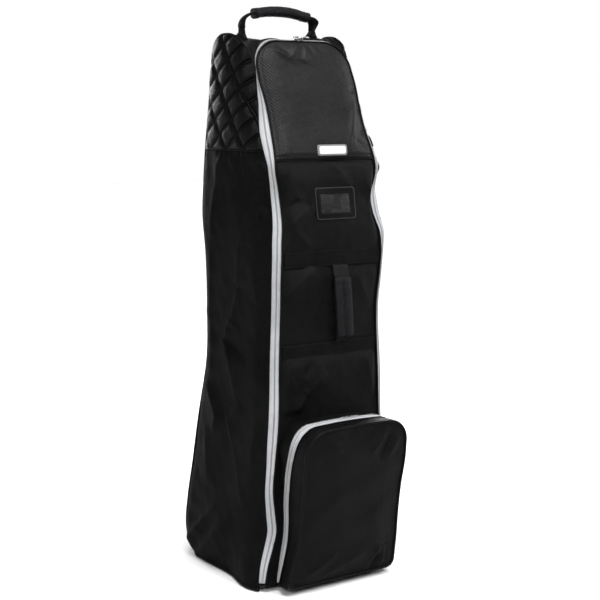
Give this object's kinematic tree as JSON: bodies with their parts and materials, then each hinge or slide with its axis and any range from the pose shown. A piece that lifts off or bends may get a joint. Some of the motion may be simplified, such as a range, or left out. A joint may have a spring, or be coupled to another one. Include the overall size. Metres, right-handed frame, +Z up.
{
  "type": "golf travel case",
  "caption": "Tall soft golf travel case with quilted crown, zipped front flap, shoe pocket, grab and carry handles and in-line wheels.",
  "frame": {"origin": "on the floor, under the middle of the case's box", "axes": "+Z up, the front flap and pocket face -Y, +X to the right of a person facing the front"},
  "size_m": [0.38, 0.4878, 1.338],
  "materials": {
    "black_polyester": "woven polyester, matt",
    "quilted_polyester": "woven polyester quilted over foam, double stitched diamonds",
    "dome_twill": "heavy coated twill, slight sheen",
    "grey_zip_tape": "light grey woven zip tape with covered coil",
    "black_piping": "smooth bound piping",
    "black_webbing": "ribbed polyester webbing",
    "grip_fabric": "padded woven wrap",
    "black_vinyl": "smooth vinyl with stitched edge",
    "clear_window": "clear flexible film",
    "card_paper": "plain dark card",
    "badge_grey": "moulded blank badge, satin",
    "silver_slider": "nickel plated zinc",
    "buckle_plastic": "moulded acetal",
    "guard_plastic": "moulded polypropylene, fine texture",
    "wheel_tyre": "solid urethane tread",
    "hub_plastic": "moulded nylon",
    "bearing_steel": "ground steel",
    "grey_lining": "plain lining cloth over foam",
    "board_plastic": "rigid polyethylene sheet"
  },
  "bodies": {
    "case": {"axle_left": "bearing_steel", "axle_right": "bearing_steel", "back_foam": "grey_lining", "back_panel": "black_polyester", "base_board": "board_plastic", "base_panel": "black_polyester", "base_studs": "buckle_plastic", "carry_tabs": "black_webbing", "case_zip_tape": "grey_zip_tape", "front_gore_left": "black_polyester", "front_gore_right": "black_polyester", "heel_guard": "guard_plastic", "lower_buckle_socket": "buckle_plastic", "lower_strap": "black_webbing", "pocket_back_gusset": "black_polyester", "pocket_bottom": "black_polyester", "pocket_tape_back": "grey_zip_tape", "pocket_wall": "black_polyester", "quilted_panel_left": "quilted_polyester", "quilted_panel_right": "quilted_polyester", "side_panel_left": "black_polyester", "side_panel_right": "black_polyester", "top_gusset": "black_polyester", "upper_buckle_socket": "buckle_plastic", "upper_strap": "black_webbing", "wheel_bracket_left": "guard_plastic", "wheel_bracket_right": "guard_plastic"},
    "flap": {"dome_panel": "dome_twill", "flap_panel": "black_polyester", "flap_piping": "black_piping", "flap_zip_tape": "grey_zip_tape", "web_band_upper": "black_webbing", "web_band_lower": "black_webbing", "badge": "badge_grey", "card_frame": "black_vinyl", "card_window": "clear_window", "name_card": "card_paper", "grab_handle": "grip_fabric", "grab_tabs": "black_webbing"},
    "pocket_cover": {"pocket_tape_front": "grey_zip_tape", "pocket_front_gusset": "black_polyester", "pocket_face": "black_polyester"},
    "carry_loop": {"carry_strap": "black_webbing", "carry_grip": "grip_fabric"},
    "left_wheel": {"wheel_tyre_left": "wheel_tyre", "wheel_hub_left": "hub_plastic", "wheel_bearings_left": "bearing_steel"},
    "right_wheel": {"wheel_tyre_right": "wheel_tyre", "wheel_hub_right": "hub_plastic", "wheel_bearings_right": "bearing_steel"},
    "main_runner_left": {"main_slider_left": "silver_slider"},
    "main_runner_right": {"main_slider_right": "silver_slider"},
    "main_tab_left": {"main_pull_left": "silver_slider"},
    "main_tab_right": {"main_pull_right": "silver_slider"},
    "pocket_runner_left": {"pocket_slider_left": "silver_slider"},
    "pocket_runner_right": {"pocket_slider_right": "silver_slider"},
    "pocket_tab_left": {"pocket_pull_left": "silver_slider"},
    "pocket_tab_right": {"pocket_pull_right": "silver_slider"},
    "upper_tongue": {"upper_buckle_tongue": "buckle_plastic"},
    "lower_tongue": {"lower_buckle_tongue": "buckle_plastic"}
  },
  "joints": [
    {"name": "flap_hinge", "type": "hinge", "parent": "case", "child": "flap", "pos_m": [0, -0.1125, 0.4318], "axis": [1, 0, 0], "range_deg": [0, 90]},
    {"name": "pocket_hinge", "type": "hinge", "parent": "case", "child": "pocket_cover", "pos_m": [0, -0.1815, 0.0205], "axis": [1, 0, 0], "range_deg": [0, 70]},
    {"name": "carry_fold", "type": "hinge", "parent": "case", "child": "carry_loop", "pos_m": [-0.027, 0.042, 1.284], "axis": [1, 0, 0], "range_deg": [-60, 60]},
    {"name": "wheel_spin_left", "type": "hinge", "parent": "case", "child": "left_wheel", "pos_m": [-0.128, 0.206, 0.038], "axis": [1, 0, 0], "continuous": true},
    {"name": "wheel_spin_right", "type": "hinge", "parent": "case", "child": "right_wheel", "pos_m": [0.128, 0.206, 0.038], "axis": [1, 0, 0], "continuous": true},
    {"name": "main_zip_left", "type": "slide", "parent": "flap", "child": "main_runner_left", "axis": [-1, 0, 0], "range_m": [0, 0.045]},
    {"name": "main_pull_swing_left", "type": "hinge", "parent": "main_runner_left", "child": "main_tab_left", "pos_m": [-0.0048, -0.00835, 1.26637], "axis": [0, 0.3746, 0.9272], "range_deg": [0, 90]},
    {"name": "pocket_zip_left", "type": "slide", "parent": "pocket_cover", "child": "pocket_runner_left", "axis": [-1, 0, 0], "range_m": [0, 0.09]},
    {"name": "pocket_pull_swing_left", "type": "hinge", "parent": "pocket_runner_left", "child": "pocket_tab_left", "pos_m": [0.0172, -0.175, 0.3978], "axis": [0, 1, 0], "range_deg": [0, 90]},
    {"name": "main_zip_right", "type": "slide", "parent": "flap", "child": "main_runner_right", "axis": [1, 0, 0], "range_m": [0, 0.045]},
    {"name": "main_pull_swing_right", "type": "hinge", "parent": "main_runner_right", "child": "main_tab_right", "pos_m": [0.0048, -0.00835, 1.26637], "axis": [0, -0.3746, -0.9272], "range_deg": [0, 90]},
    {"name": "pocket_zip_right", "type": "slide", "parent": "pocket_cover", "child": "pocket_runner_right", "axis": [1, 0, 0], "range_m": [0, 0.05]},
    {"name": "pocket_pull_swing_right", "type": "hinge", "parent": "pocket_runner_right", "child": "pocket_tab_right", "pos_m": [0.0268, -0.175, 0.3978], "axis": [0, -1, 0], "range_deg": [0, 90]},
    {"name": "upper_buckle_slide", "type": "slide", "parent": "case", "child": "upper_tongue", "axis": [1, 0, 0], "range_m": [0, 0.018]},
    {"name": "lower_buckle_slide", "type": "slide", "parent": "case", "child": "lower_tongue", "axis": [1, 0, 0], "range_m": [0, 0.018]}
  ]
}
